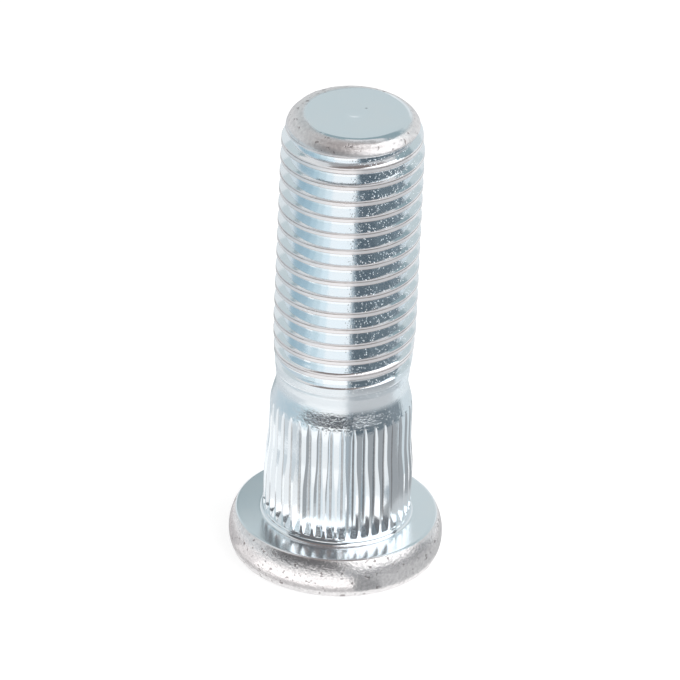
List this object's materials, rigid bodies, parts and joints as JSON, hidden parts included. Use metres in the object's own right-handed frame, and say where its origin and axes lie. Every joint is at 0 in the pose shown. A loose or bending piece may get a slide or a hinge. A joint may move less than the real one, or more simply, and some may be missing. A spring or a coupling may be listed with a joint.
{
  "type": "wheel stud",
  "caption": "Press-in wheel stud: round head, serrated shank and threaded end, pressed through a hub flange so that a wheel nut can be screwed on.",
  "frame": {"origin": "centre of the head's outer face, which the stud stands on", "axes": "+Z along the stud's axis, from the head to the threaded tip; X and Y across it"},
  "size_m": [0.0178, 0.0178, 0.0412],
  "materials": {
    "zinc_steel": "bright zinc plate"
  },
  "bodies": {
    "root": {"wheel_stud": "zinc_steel"}
  },
  "joints": []
}
